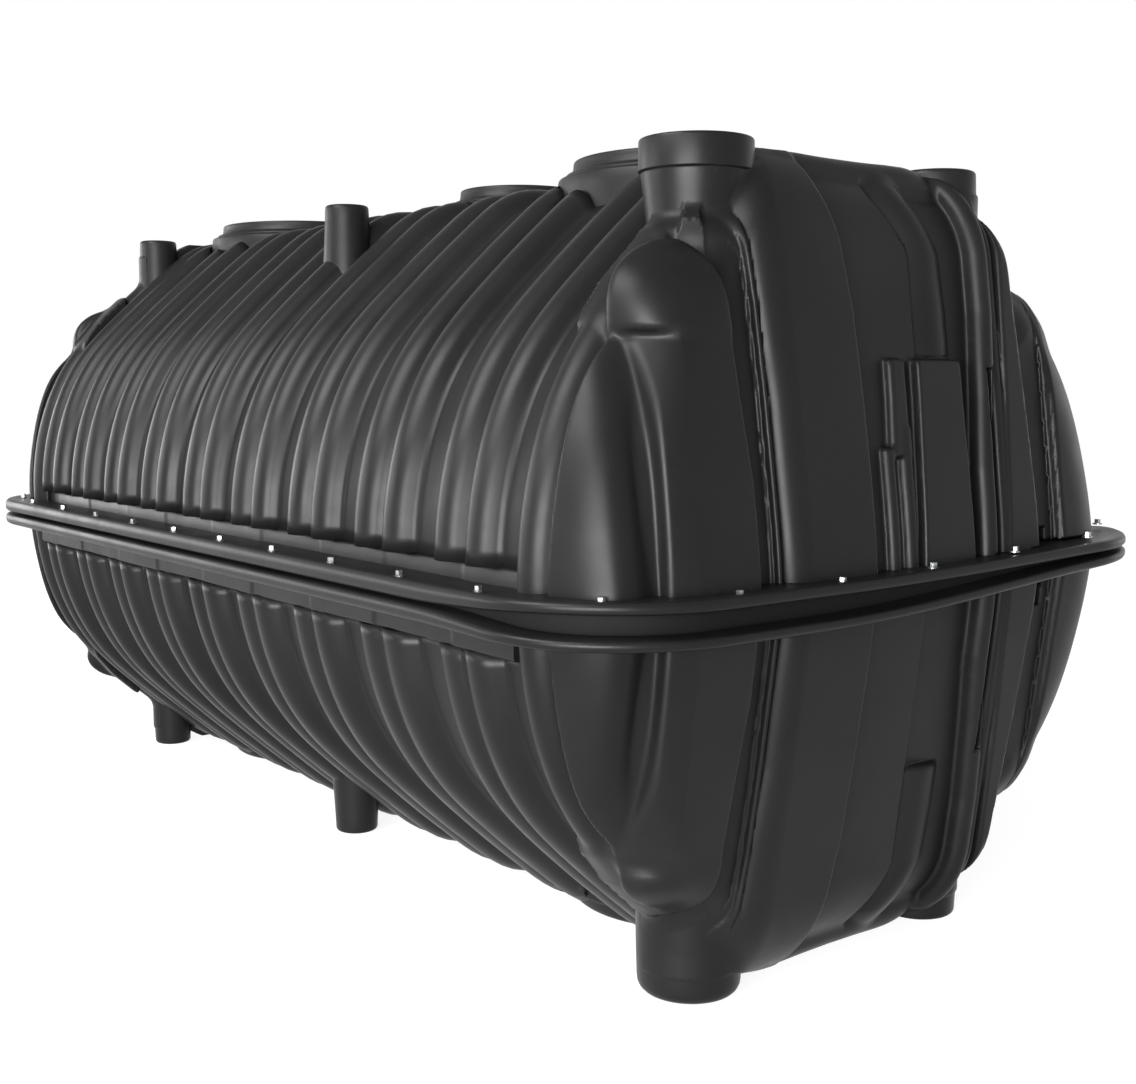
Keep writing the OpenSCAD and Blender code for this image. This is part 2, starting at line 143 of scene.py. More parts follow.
def seam_rise(x, y):
    """How far the seam rises towards the right of the front end."""
    return smooth_step(*RISE_X, x) * RISE * smooth_step(*RISE_Y, y)


def seam_gap(x, y):
    """How far the two lips stand apart: they part round the front left corner."""
    return 0.009 + 0.034 * smooth_step(1.05, 1.5, x) * (1 - smooth_step(-0.35, 0.75, y))


def slope_of(field, p, h=0.0006):
    """The field at some points, and its slope there."""
    slope = []
    for axis in range(3):
        q, r = p.copy(), p.copy()
        q[:, axis] += h
        r[:, axis] -= h
        slope.append((field(*q.T) - field(*r.T)) / (2 * h))
    return field(*p.T), np.stack(slope, axis=1)


def along(parts):
    """Index that takes a slice of a grid along each axis that is named."""
    return tuple(parts.get(axis, slice(None)) for axis in range(3))


def ticks(lo, hi, cell, fine=()):
    """Places of a grid along one axis, closer together within the ranges that need it."""
    at = [lo]
    while at[-1] < hi:
        near = any(a < at[-1] < b for a, b in fine)
        at.append(at[-1] + (cell * 0.5 if near else cell))
    return np.array(at)


def skin(field, axes):
    """Closed surface of a field on a grid of three axes: its points, four-sided faces and normals."""
    grid = np.meshgrid(*axes, indexing="ij")
    f = field(*grid)
    inside = f < 0
    shape = [n - 1 for n in f.shape]
    total, count = np.zeros(shape + [3]), np.zeros(shape)
    for axis in range(3):
        a, b = along({axis: slice(0, -1)}), along({axis: slice(1, None)})
        cross = inside[a] != inside[b]
        drop = np.where(cross, f[a] - f[b], 1)
        part = np.where(cross, f[a] / drop, 0)
        u, v = [i for i in range(3) if i != axis]
        for du, dv in ((0, 0), (0, 1), (1, 0), (1, 1)):
            s = along({u: slice(du, shape[u] + du), v: slice(dv, shape[v] + dv)})
            c, p = cross[s], part[s]
            total[..., axis] += p * c
            total[..., u] += du * c
            total[..., v] += dv * c
            count += c
    used = count > 0
    number = np.full(shape, -1)
    number[used] = np.arange(used.sum())
    spot = np.stack(np.nonzero(used), axis=1) + total[used] / count[used][:, None]
    points = np.stack([np.interp(spot[:, i], np.arange(len(axes[i])), axes[i]) for i in range(3)], axis=1)
    faces = []
    for axis in range(3):
        u, v = (axis + 1) % 3, (axis + 2) % 3
        a, b = (along({axis: part, u: slice(1, -1), v: slice(1, -1)})
                for part in (slice(0, -1), slice(1, None)))
        out = inside[a]
        where = np.stack(np.nonzero(out != inside[b]), axis=1)
        ring = []
        for du, dv in ((0, 0), (1, 0), (1, 1), (0, 1)):
            q = where.copy()
            q[:, u] += du
            q[:, v] += dv
            ring.append(number[q[:, 0], q[:, 1], q[:, 2]])
        quad = np.stack(ring, axis=1)
        turned = out[where[:, 0], where[:, 1], where[:, 2]][:, None]
        faces.append(np.where(turned, quad, quad[:, ::-1]))
    for _ in range(3):
        value, slope = slope_of(field, points)
        step = np.clip(value / np.maximum((slope ** 2).sum(1), 0.3), -0.005, 0.005)
        points = points - slope * step[:, None]
    return points, np.concatenate(faces), slope_of(field, points)[1]


# ---- End walls, in a half shell's own terms: x outwards, y across, z away from the middle height ----


def polar(y, z):
    """Distance from the middle of the arch, evened for its fullness, and the angle over the seam."""
    rise = np.maximum(z - LIFT, 0)
    angle = np.arctan2(rise, np.abs(y))
    return np.hypot(y, rise) / fullness(angle), angle


# Rounds of a cap's rim and of its wall into the roof, and the angle at which the wall leans in
DOME_R, ROOF_R, LEAN = 0.230, 0.215, math.atan(0.110 / (LIFT + CAP_R))
# How far the widest panel stands out, where the lobes and shoulders of the corners begin along the tank
PANEL_H, LOBE_X, HOOD_X = 0.040, 1.386, 1.372
# Tops of the roots under the posts: a plain one and the large one
ROOT_TOP, BIG_TOP = 0.80, 0.790
# Posts and feet past the first radius have a wide root; past the second they are the front left pair
WIDE_R, BIG_R = 0.1, 0.105


def plain_end(x, rho, z):
    """A plain end cap, and its leaning wall alone."""
    zc = LIFT + CAP_R - ROOF_R + 0.012
    xc = END_X - zc * math.tan(LEAN) - ROOF_R / math.cos(LEAN)
    qx, qr = x - (END_X - DOME_R), rho - (CAP_R - DOME_R)
    dome = np.hypot(np.maximum(qx, 0), np.maximum(qr, 0)) + np.minimum(np.maximum(qx, qr), 0) - DOME_R
    dx, dz = x - xc, z - zc
    plane = (x - END_X) * math.cos(LEAN) + z * math.sin(LEAN)
    rounded = (dz * math.cos(LEAN) - dx * math.sin(LEAN) > 0) & (dx > 0)
    wall = np.where(rounded, np.hypot(dx, dz) - ROOF_R, np.maximum(plane, dz - ROOF_R))
    return soft_max(dome, wall, 0.02), wall


def edge(z, *at):
    """Distance of an edge from the centre line, which leans as it rises: values at six heights."""
    return np.interp(z, (0, 0.2, 0.35, 0.53, 0.65, 0.76), at)


def flat(cap, height, y, inner, outer, k=0.014):
    """Flat-topped panel between two edges."""
    return soft_max(cap - height, np.maximum(inner - y, y - outer), k)


def roll(cap, height, y, at, r):
    """Round rib with its middle at a distance from the centre line."""
    return np.hypot(y - at, np.maximum(cap - (height - r), 0)) - r


def swell(y, foot, top):
    """Quarter round that climbs from nothing at its foot to one at its top."""
    t = np.clip((y - top) / (foot - top), 0, 1)
    return np.sqrt(np.maximum(1 - t * t, 0))


def hood(angle):
    """How far the shoulder over a corner stands out of the cap at an angle over the seam, in degrees."""
    return 0.092 - np.where(angle < 42, 0.00109, 0.00076) * (angle - 42) ** 2


def left_panels(body, cap, left, z, fin, facet):
    """Adds the wide panel that rolls down on its far side, the fin and the facet beside the corner."""
    rolled = swell(left, edge(z, 0.352, 0.356, 0.358, 0.372, 0.383, 0.392),
                   edge(z, 0.296, 0.298, 0.300, 0.304, 0.308, 0.310))
    inner = edge(z, 0.113, 0.114, 0.118, 0.128, 0.148, 0.173)
    body = soft_min(body, soft_max(cap - PANEL_H * rolled, inner - left, 0.010), 0.003)
    body = soft_min(body, flat(cap, 0.016, left, fin - 0.006, fin + 0.006, 0.008), 0.004)
    tilt = PANEL_H - 0.18 * np.maximum(left - 0.588, 0)
    return soft_min(body, soft_max(cap - tilt, np.maximum(facet - left, left - 0.648), 0.010), 0.008)


def corner_side(x, rho, z):
    """Side face of the lobes round the corners."""
    return (rho - 0.803 - 0.012 * smooth_step(0.15, 0.45, z)) * 0.970 + (x - 1.388) * 0.242


def left_lobe(body, x, left, wall, side_face):
    """Adds the lobe round the left corner, with the valley on its inner side."""
    face = wall + 0.016 - 0.042 * smooth_step(0.655, 0.76, left)
    lobe = soft_max(face, side_face, 0.13)
    lobe = soft_max(lobe, np.maximum(0.640 - left, LOBE_X - x), 0.010)
    return soft_min(body, lobe, 0.008)


def right_lobe(body, x, y, z, wall, side_face):
    """Adds the lower lobe round the right corner."""
    lobe = soft_max(wall - 0.012, side_face + 0.012, 0.15)
    lobe = soft_max(lobe, np.maximum(0.556 - y, LOBE_X - x), 0.012)
    return soft_min(body, soft_max(lobe, z - 0.60, 0.05), 0.008)


def middle_forms(body, cap, y, z, fitted):
    """Adds the face in the middle, the round rib, and the pipes, strip and pad of a fitted half."""
    outer = edge(z, 0.079, 0.079, 0.079, 0.079, 0.080, 0.015)
    body = soft_min(body, soft_max(cap - 0.014, np.maximum(-0.16 - y, y - outer), 0.006), 0.004)
    forms = [roll(cap, 0.043, y, edge(z, 0.262, 0.268, 0.285, 0.300, 0.300, 0.296), 0.026)]
    if fitted:
        over, lower = z - 0.432, np.maximum(z - 0.255, -1)
        strip = flat(cap, 0.034, y, edge(z, -0.04, -0.04, -0.030, -0.026, 0, 0), 0.022)
        pad = flat(cap, 0.038, y, edge(z, 0.036, 0.046, 0.054, 0.058, 0.06, 0.06),
                   edge(z, 0.203, 0.199, 0.196, 0.193, 0.193, 0.193), 0.008)
        forms += [soft_max(roll(cap, 0.034, -y, 0.0445, 0.016), lower, 0.008),
                  soft_max(roll(cap, 0.034, -y, -0.010, 0.018), lower - 0.04, 0.008),
                  soft_max(strip, np.maximum(0.235 - z, over), 0.008), soft_max(pad, over, 0.010)]
    for form in forms:
        body = soft_min(body, form, 0.008)
    return body


def right_panels(body, cap, y, z):
    """Adds the broad low rib beside the middle face, the slot, and the panels on the right."""
    broad = 0.026 - 6.5 * (y - edge(z, 0.14, 0.14, 0.14, 0.140, 0.132, 0.09)) ** 2
    body = soft_min(body, soft_max(cap - broad, 0.43 - z, 0.02), 0.003)
    slot = np.maximum(np.abs(y - edge(z, 0.284, 0.287, 0.291, 0.295, 0.3, 0.3)) - 0.010, z - 0.415)
    body = soft_max(body, -np.maximum(slot, -0.016 - cap), 0.008)
    facet = flat(cap, 0.036, y, edge(z, 0.324, 0.335, 0.347, 0.354, 0.358, 0.362),
                 edge(z, 0.437, 0.428, 0.418, 0.404, 0.394, 0.380), 0.010)
    ledge = flat(cap, 0.030, y, edge(z, 0.308, 0.312, 0.316, 0.318, 0.320, 0.322), 0.350, 0.016)
    return soft_min(soft_min(body, facet, 0.006), ledge, 0.006)


def sunk_bed(body, cap, z, base, across, deep):
    """Cuts a shallow bed into the wall, with a deep pocket in it at the seam."""
    bed = soft_max(across + 0.004, z - 0.70, 0.10)
    body = soft_max(body, -np.maximum(bed, -deep - cap), 0.008)
    pocket = np.maximum(across + 0.026, z - base - 0.050)
    return soft_max(body, -np.maximum(pocket, -0.034 - cap), 0.005)


def shoulders(body, x, y, z, rho, angle, wall, facet, upper, extra):
    """Adds the shoulders over the corners: a full one on the left, a low one on the right."""
    degrees = np.degrees(angle)
    full = soft_max((rho - CAP_R - (hood(degrees) + extra)) * 0.85, wall - 0.040, 0.150)
    full = soft_max(full, 0.470 - z, 0.022 if upper else 0.10)
    full = soft_max(full, facet + y, 0.022)
    body = soft_min(body, soft_max(full, HOOD_X - x, 0.03), 0.016)
    slight = soft_max((rho - CAP_R - 0.022 + 0.00035 * (degrees - 42) ** 2) * 0.9, wall + 0.010, 0.10)
    slight = soft_max(slight, np.maximum(0.45 - z, 0.46 - y), 0.08)
    return soft_min(body, soft_max(slight, HOOD_X - x, 0.03), 0.03)


def big_root(body, rx, ry, z):
    """Adds the skirt, the neck and the three webs under the large post."""
    rad = np.hypot(rx, ry)
    body = soft_min(body, soft_max(rad - 0.126, z - 0.690, 0.045), 0.02)
    neck = rad - np.interp(z, (0.66, 0.70, 0.75, 0.79), (0.092, 0.096, 0.103, 0.108))
    body = soft_min(body, soft_max(neck, z - BIG_TOP, 0.004), 0.022)
    thick = 0.006 + 0.014 * smooth_step(0.76, 0.66, z)
    for turn, reach, top in ((225, (0.127, 0.116), 0.788), (45, (0.127, 0.116), 0.788),
                             (-47, (0.122, 0.070), 0.738)):
        c, s = math.cos(math.radians(turn)), math.sin(math.radians(turn))
        out, across = rx * c + ry * s, np.abs(ry * c - rx * s)
        web = np.maximum(across - thick, out - np.interp(z, (0.69, top), reach))
        web = soft_max(np.maximum(web, -out), z - top, 0.006)
        body = soft_min(body, web, 0.012)
    return body


def plain_root(body, rx, ry, z, r, blend):
    """Adds the root of a plain post or foot."""
    return soft_min(body, soft_max(np.hypot(rx, ry) - r + 0.004, z - ROOT_TOP, 0.01), blend)


def end_field(half, front):
    """Field of one end of a half shell with its ribs, panels, corners and the roots of its posts."""
    upper, base = half == "upper", BASE[half]
    (post_x, left_y, left_r), (_, right_y, right_r) = (
        post_of(f"{'front' if front else 'rear'}_{side}_foot") for side in ("left", "right"))
    post_x = abs(post_x)
    big = front and upper

    def field(x, y, z):
        rho, angle = polar(y, z)
        cap, wall = plain_end(x, rho, z)
        left = -y
        fin = edge(z, 0.363, 0.365, 0.367, 0.374, 0.385, 0.400)
        facet = edge(z, 0.438, 0.440, 0.456, 0.472, 0.500, 0.520)
        side_face = corner_side(x, rho, z)
        body = left_panels(cap, cap, left, z, fin, facet)
        body = left_lobe(body, x, left, wall, side_face)
        body = middle_forms(body, cap, y, z, upper)
        body = right_panels(body, cap, y, z)
        body = right_lobe(body, x, y, z, wall, side_face)
        body = sunk_bed(body, cap, z, base, np.maximum(fin + 0.010 - left, left - facet), 0.002)
        body = sunk_bed(body, cap, z, base, np.abs(y - 0.497) - 0.052, 0.012)
        body = shoulders(body, x, y, z, rho, angle, wall, facet, upper, 0.004 if big else -0.030)
        hoop = np.hypot(x - HOOP_X, rho - (BARREL_R - RIB_R)) - RIB_R
        body = soft_min(body, hoop, 0.014)
        rx, ry = x - post_x, y - left_y
        if big:
            body = big_root(body, rx, ry, z)
        else:
            body = plain_root(body, rx, ry, z, left_r, 0.02 if left_r < WIDE_R else 0.035)
            if left_r > WIDE_R:
                slit = np.maximum(np.abs(ry) - 0.010, np.abs(rx + left_r + 0.005) - 0.010)
                body = np.maximum(body, -np.maximum(slit, 0.70 - z))
        body = plain_root(body, rx, y - right_y, z, right_r, 0.022)
        body = np.maximum(body, z - CROWN)
        # Hollow inside, open at the seam and towards the barrel
        body = soft_max(body, -(cap + 0.040), 0.004)
        rise = SIGN[half] * seam_rise(x, y) if front else 0
        return np.maximum(np.maximum(body, base + rise - WALL - z), CAP_X - WALL - x)

    return field


# ---- Meshes ----


def add_object(name, data):
    obj = bpy.data.objects.new(name, data)
    bpy.context.scene.collection.objects.link(obj)
    return obj


def smooth_mesh(name, points, faces):
    """Smooth mesh from points and four-sided faces."""
    mesh = bpy.data.meshes.new(name)
    mesh.vertices.add(len(points))
    mesh.vertices.foreach_set("co", np.asarray(points, dtype=np.float32).ravel())
    mesh.loops.add(4 * len(faces))
    mesh.loops.foreach_set("vertex_index", np.asarray(faces, dtype=np.int32).ravel())
    mesh.polygons.add(len(faces))
    mesh.polygons.foreach_set("loop_start", np.arange(0, 4 * len(faces), 4, dtype=np.int32))
    mesh.update(calc_edges=True)
    mesh.validate()
    mesh.shade_smooth()
    return mesh


def grid_faces(rows, columns, close_rows=False, close_columns=False):
    """Faces of a sheet of points that may close on itself either way."""
    i, j = np.meshgrid(np.arange(rows if close_rows else rows - 1),
                       np.arange(columns if close_columns else columns - 1), indexing="ij")
    i, j = i.ravel(), j.ravel()
    k, m = (i + 1) % rows, (j + 1) % columns
    return np.stack([i * columns + j, i * columns + m, k * columns + m, k * columns + j], axis=1)


def dress(obj, slot, nodes=()):
    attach(obj, "root")
    if nodes:
        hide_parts(*nodes)


def settle(name, shapes, slot, nodes, material, crisp=None, normals=None):
    """Joins shapes, each its points and faces, into one finished piece that stands for its solids.

    Edges stay crisp where the faces turn by more than crisp degrees.
    """
    starts = np.cumsum([0] + [len(points) for points, _ in shapes])
    mesh = smooth_mesh(name, np.concatenate([points for points, _ in shapes]),
                       np.concatenate([faces + start for (_, faces), start in zip(shapes, starts)]))
    if normals is not None:
        length = np.linalg.norm(normals, axis=1, keepdims=True)
        mesh.normals_split_custom_set_from_vertices(normals / np.maximum(length, 1e-9))
    mesh.materials.append(bpy.data.materials[material])
    if crisp:
        mesh.set_sharp_from_angle(angle=math.radians(crisp))
    dress(add_object(name, mesh), slot, nodes)


def line(x, y, z):
    """Line of points from its places on each axis, any of which may be one number."""
    return np.column_stack(np.broadcast_arrays(x, y, z))


def loft(lines, **closed):
    """Sheet through lines of points side by side: its points and faces."""
    points = np.stack(lines, axis=1)
    return points.reshape(-1, 3), grid_faces(*points.shape[:2], **closed)


def outwards(points, faces):
    """Points, and faces turned so that the closed mesh they make has its inside behind them."""
    a, b, c, d = (points[faces[:, i]] for i in range(4))
    volume = (np.cross(b - a, c - a) * (a + b + c)).sum() + (np.cross(c - a, d - a) * (a + c + d)).sum()
    return points, faces if volume > 0 else faces[:, ::-1]


def turned(name, outline, centre, half, slot, node, material, turns=96):
    """Finished piece turned from a closed outline of radius and height in a half shell's own terms."""
    x, y = centre
    a = np.linspace(0, 2 * np.pi, turns, endpoint=False)
    lines = [line(x + r * np.cos(a), y + r * np.sin(a), HALF_H + SIGN[half] * z) for r, z in outline]
    shape = outwards(*loft(lines, close_rows=True, close_columns=True))
    settle(name, [shape], slot, [node], material, crisp=35)


def bend(*corners):
    """Profile whose corners, each a radius, a height and a round, are rounded off."""
    out = []
    for i, (r, z, round_r) in enumerate(corners):
        if round_r == 0 or i in (0, len(corners) - 1):
            out.append((r, z))
            continue
        p = np.array((r, z))
        a, b = (np.array(corners[k][:2]) - p for k in (i - 1, i + 1))
        la, lb = np.linalg.norm(a), np.linalg.norm(b)
        a, b = a / la, b / lb
        reach = min(round_r, 0.49 * la, 0.49 * lb)
        for t in np.linspace(0, 1, 6):
            q = (1 - t) ** 2 * (p + a * reach) + 2 * t * (1 - t) * p + t ** 2 * (p + b * reach)
            out.append(tuple(q))
    return out


# ---- Node trees ----


class Val:
    """A value in a node tree that takes plain arithmetic."""

    def __init__(self, tree, socket):
        self.tree, self.socket = tree, socket

    def __add__(self, o):
        return calc(self.tree, "ADD", self, o)

    def __sub__(self, o):
        return calc(self.tree, "SUBTRACT", self, o)

    def __rsub__(self, o):
        return calc(self.tree, "SUBTRACT", o, self)

    def __mul__(self, o):
        return calc(self.tree, "MULTIPLY", self, o)

    def __truediv__(self, o):
        return calc(self.tree, "DIVIDE", self, o)

    __radd__, __rmul__ = __add__, __mul__


def feed(tree, socket, value):
    if isinstance(value, Val):
        value = value.socket
    if isinstance(value, bpy.types.NodeSocket):
        tree.links.new(value, socket)
    elif value is not None:
        socket.default_value = value


def calc(tree, operation, *values):
    return place(tree, "ShaderNodeMath", dict(enumerate(values)), operation=operation)


def place(tree, kind, values=(), out=0, **settings):
    """One node with its settings and inputs, by name or number; gives back an output."""
    node = tree.nodes.new(kind)
    for key, value in settings.items():
        setattr(node, key, value)
    for key, value in dict(values).items():
        feed(tree, node.inputs[key], value)
    return Val(tree, node.outputs[out])


def split(tree, vector):
    """The three numbers of a vector."""
    node = tree.nodes.new("ShaderNodeSeparateXYZ")
    feed(tree, node.inputs[0], vector)
    return [Val(tree, socket) for socket in node.outputs]


def smooth(tree, value, lo, hi, a=0.0, b=1.0):
    return place(tree, "ShaderNodeMapRange", {0: value, 1: lo, 2: hi, 3: a, 4: b},
                 interpolation_type="SMOOTHSTEP")


def new_group(kind, name, inputs, outputs):
    """Node group with named inputs and outputs; gives back the tree, its inputs as values and its end."""
    tree = bpy.data.node_groups.new(name, kind)
    for label, (sort, default) in inputs.items():
        socket = tree.interface.new_socket(name=label, in_out="INPUT", socket_type="NodeSocket" + sort)
        if default is not None:
            socket.default_value = default
    for label, sort in outputs.items():
        tree.interface.new_socket(name=label, in_out="OUTPUT", socket_type="NodeSocket" + sort)
    start, end = tree.nodes.new("NodeGroupInput"), tree.nodes.new("NodeGroupOutput")
    return tree, {s.name: Val(tree, s) for s in start.outputs if s.name}, end.inputs[0]


def close_tree(tree, geometry, material, end, rounded=True):
    geometry = place(tree, "GeometryNodeRealizeInstances", {0: geometry})
    if rounded:
        geometry = place(tree, "GeometryNodeSetShadeSmooth", {0: geometry})
    feed(tree, end, place(tree, "GeometryNodeSetMaterial", {"Geometry": geometry, "Material": material}))
    return tree


def grow(name, tree, values, wall=None):
    """Runs a tree on an empty object and keeps the plain mesh that it makes."""
    obj = add_object(name, bpy.data.meshes.new(name))
    modifier = obj.modifiers.new("Form", "NODES")
    modifier.node_group = tree
    for item in tree.interface.items_tree:
        if item.in_out == "INPUT" and item.name in values:
            modifier[item.identifier] = values[item.name]
    if wall:
        solid = obj.modifiers.new("Wall", "SOLIDIFY")
        solid.thickness, solid.offset = wall, -1
    bpy.context.view_layer.update()
    mesh = bpy.data.meshes.new_from_object(obj.evaluated_get(bpy.context.evaluated_depsgraph_get()))
    if not mesh.polygons:
        raise RuntimeError(name + " came out empty")
    obj.modifiers.clear()
    obj.data = mesh
    mesh.name = name
    return obj


HOLES = ("Hole A", "Hole B", "Hole C")


def barrel_tree():
    """Half barrel: a sheet bent over the arch, its ribs raised in pairs, its holes cut."""
    tree, at, end = new_group("GeometryNodeTree", "Ribbed barrel", {
        "Columns": ("Int", 320), "Rows": ("Int", 78), "Length": ("Float", 2.58),
        "First Pair": ("Float", -1.184), "Pitch": ("Float", 0.286), "Pairs": ("Int", 9),
        "Gap": ("Float", RIB_GAP), "Rib Radius": ("Float", RIB_R), "Rib Height": ("Float", RIB_H),
        "Crest": ("Float", BARREL_R), "Lift": ("Float", LIFT), "Bow": ("Float", 0.058),
        "Bow Middle": ("Float", -0.1), "Bow Reach": ("Float", 1.15), "Melt": ("Float", 0.004),
        "Foot": ("Float", 0.04), "Middle": ("Float", HALF_H), "Side": ("Float", 1.0),
        **{hole: ("Vector", None) for hole in HOLES}, "Material": ("Material", None)},
        {"Geometry": "Geometry"})
    sheet = place(tree, "GeometryNodeMeshGrid", {"Size X": 1.0, "Size Y": 1.0,
                                                 "Vertices X": at["Columns"], "Vertices Y": at["Rows"]})
    x, turn, _ = split(tree, place(tree, "GeometryNodeInputPosition"))
    x, turn = x * at["Length"], turn * 2.0
    # Distance to the middle of the nearest rib, then the height of the skin there: the ribs crowd
    # a little towards both ends
    part = (x - at["Bow Middle"]) / at["Bow Reach"]
    along_x = x + calc(tree, "MAXIMUM", 1.0 - part * part, 0.0) * at["Bow"]
    pair = calc(tree, "ROUND", (along_x - at["First Pair"]) / at["Pitch"])
    pair = calc(tree, "MINIMUM", calc(tree, "MAXIMUM", pair, 0.0), at["Pairs"] - 1.0)
    off = calc(tree, "ABSOLUTE", along_x - at["First Pair"] - pair * at["Pitch"])
    near = calc(tree, "ABSOLUTE", off - at["Gap"] * 0.5)
    arc = at["Rib Radius"] * at["Rib Radius"] - near * near
    arc = calc(tree, "SQRT", calc(tree, "MAXIMUM", arc, 0.0)) + at["Crest"] - at["Rib Radius"]
    radius = calc(tree, "SMOOTH_MAX", arc, at["Crest"] - at["Rib Height"], at["Melt"] * 3.0)
    # Angle from the crown, and the fullness of the arch at the edge of the deck
    foot = calc(tree, "ARCSINE", (at["Foot"] - at["Lift"]) / radius)
    angle = turn * (math.pi / 2 - foot)
    over = math.pi / 2 - calc(tree, "ABSOLUTE", angle)

    def hump(amount, middle, width):
        part = (over - middle) / width
        return calc(tree, "EXPONENT", part * part * -1.0) * amount

    radius = radius * (1.0 + hump(*DECK_FULL) - hump(*SIDE_FLAT))
    y = radius * calc(tree, "SINE", angle)
    z = at["Lift"] + radius * calc(tree, "COSINE", angle)
    spot = place(tree, "ShaderNodeCombineXYZ", {0: x, 1: y, 2: at["Middle"] + at["Side"] * z})
    bent = place(tree, "GeometryNodeSetPosition", {"Geometry": sheet, "Position": spot})
    # Holes under the collars: each is a place along the tank, a place across it and a radius
    for hole in HOLES:
        hole_x, hole_y, hole_r = split(tree, at[hole])
        here_x, here_y, _ = split(tree, place(tree, "GeometryNodeInputPosition"))
        dx, dy = here_x - hole_x, here_y - hole_y
        gone = calc(tree, "LESS_THAN", dx * dx + dy * dy, hole_r * hole_r)
        bent = place(tree, "GeometryNodeDeleteGeometry", {"Geometry": bent, "Selection": gone})
    flipped = place(tree, "GeometryNodeFlipFaces",
                    {"Mesh": bent, "Selection": calc(tree, "LESS_THAN", at["Side"], 0.0)})
    return close_tree(tree, flipped, at["Material"], end)


def bolt_tree():
    """Bolts with washers along the lip of the seam, each turned by chance."""
    tree, at, end = new_group("GeometryNodeTree", "Seam bolts", {
        "Length": ("Float", 3.0), "Width": ("Float", 1.6), "Corner": ("Float", 0.28),
        "Count": ("Int", 34), "Height": ("Float", 0.86), "Rise": ("Float", RISE),
        "Head": ("Float", 0.0075), "Head Depth": ("Float", 0.009), "Head Lift": ("Float", 0.0065),
        "Washer Depth": ("Float", 0.003), "Seed": ("Int", 3), "Material": ("Material", None)},
        {"Geometry": "Geometry"})
    loop = place(tree, "GeometryNodeCurvePrimitiveQuadrilateral",
                 {"Width": at["Length"], "Height": at["Width"]})
    loop = place(tree, "GeometryNodeFilletCurve",
                 {"Curve": loop, "Count": 12, "Radius": at["Corner"]}, mode="POLY")
    even = place(tree, "GeometryNodeResampleCurve", {"Curve": loop, "Count": at["Count"]})
    x, y, _ = split(tree, place(tree, "GeometryNodeInputPosition"))
    rise = smooth(tree, x, *RISE_X) * smooth(tree, y, *RISE_Y)
    lift = place(tree, "ShaderNodeCombineXYZ", {2: at["Height"] + rise * at["Rise"]})
    spots = place(tree, "GeometryNodeSetPosition", {"Geometry": even, "Offset": lift})
    head = place(tree, "GeometryNodeMeshCylinder",
                 {"Vertices": 6, "Radius": at["Head"], "Depth": at["Head Depth"]})
    up = place(tree, "ShaderNodeCombineXYZ", {2: at["Head Lift"]})
    head = place(tree, "GeometryNodeTransform", {0: head, "Translation": up})
    washer = place(tree, "GeometryNodeMeshCylinder",
                   {"Vertices": 16, "Radius": at["Head"] * 1.5, "Depth": at["Washer Depth"]})
    joined = tree.nodes.new("GeometryNodeJoinGeometry")
    for part in (head, washer):
        feed(tree, joined.inputs[0], part)
    spin = place(tree, "FunctionNodeRandomValue", {2: 0.0, 3: 6.28, "Seed": at["Seed"]}, out=1)
    turn = place(tree, "ShaderNodeCombineXYZ", {2: spin})
    set_out = place(tree, "GeometryNodeInstanceOnPoints",
                    {"Points": spots, "Instance": Val(tree, joined.outputs[0]), "Rotation": turn})
    return close_tree(tree, set_out, at["Material"], end, rounded=False)


# ---- Finishes ----


def object_place(tree):
    return place(tree, "ShaderNodeTexCoord", out="Object")


def noise(tree, scale, detail=3.0, rough=0.5, vector=None):
    return place(tree, "ShaderNodeTexNoise", {"Vector": vector or object_place(tree), "Scale": scale,
                                              "Detail": detail, "Roughness": rough})


def grain_group():
    """Skin of a moulding: a fine grain over a slow orange peel, as a height."""
    tree, at, end = new_group("ShaderNodeTree", "Moulded grain",
                              {"Grain": ("Float", 0.3), "Peel": ("Float", 0.7)}, {"Height": "Float"})
    fine = noise(tree, 900.0, 2.0)
    slow = noise(tree, 34.0, 2.0, 0.4)
    feed(tree, end, fine * at["Grain"] + slow * at["Peel"])


def dust_group():
    """Dust that settles on what faces up and in patches, as a mask."""
    tree, at, end = new_group("ShaderNodeTree", "Settled dust", {"Amount": ("Float", 0.3)}, {"Mask": "Float"})
    normal = place(tree, "ShaderNodeNewGeometry", out="Normal")
    up = smooth(tree, split(tree, normal)[2], 0.1, 1.0)
    patch = smooth(tree, noise(tree, 3.0, 6.0, 0.65), 0.40, 0.72)
    speck = smooth(tree, noise(tree, 120.0, 3.0, 0.6), 0.45, 0.75)
    feed(tree, end, up * (patch * 0.7 + 0.3) * (speck * 0.6 + 0.4) * at["Amount"])


def scuff_group():
    """Faint rubs and handling marks that run along the tank, as a mask."""
    tree, at, end = new_group("ShaderNodeTree", "Scuffs", {"Amount": ("Float", 0.5)}, {"Mask": "Float"})
    stretched = place(tree, "ShaderNodeMapping", {"Vector": object_place(tree), "Scale": (2.0, 9.0, 14.0)})
    streak = smooth(tree, noise(tree, 6.0, 8.0, 0.7, stretched), 0.55, 0.75)
    patch = smooth(tree, noise(tree, 2.2, 2.0), 0.45, 0.65)
    feed(tree, end, streak * patch * at["Amount"])


def use_group(tree, name, **values):
    return place(tree, "ShaderNodeGroup", values, node_tree=bpy.data.node_groups[name])


def mix(tree, factor, a, b):
    return place(tree, "ShaderNodeMix", {"Factor": factor, 6: a, 7: b}, out=2, data_type="RGBA")


def new_material(name):
    mat = bpy.data.materials.new(name)
    mat.use_nodes = True
    return mat, mat.node_tree, mat.node_tree.nodes["Principled BSDF"].inputs


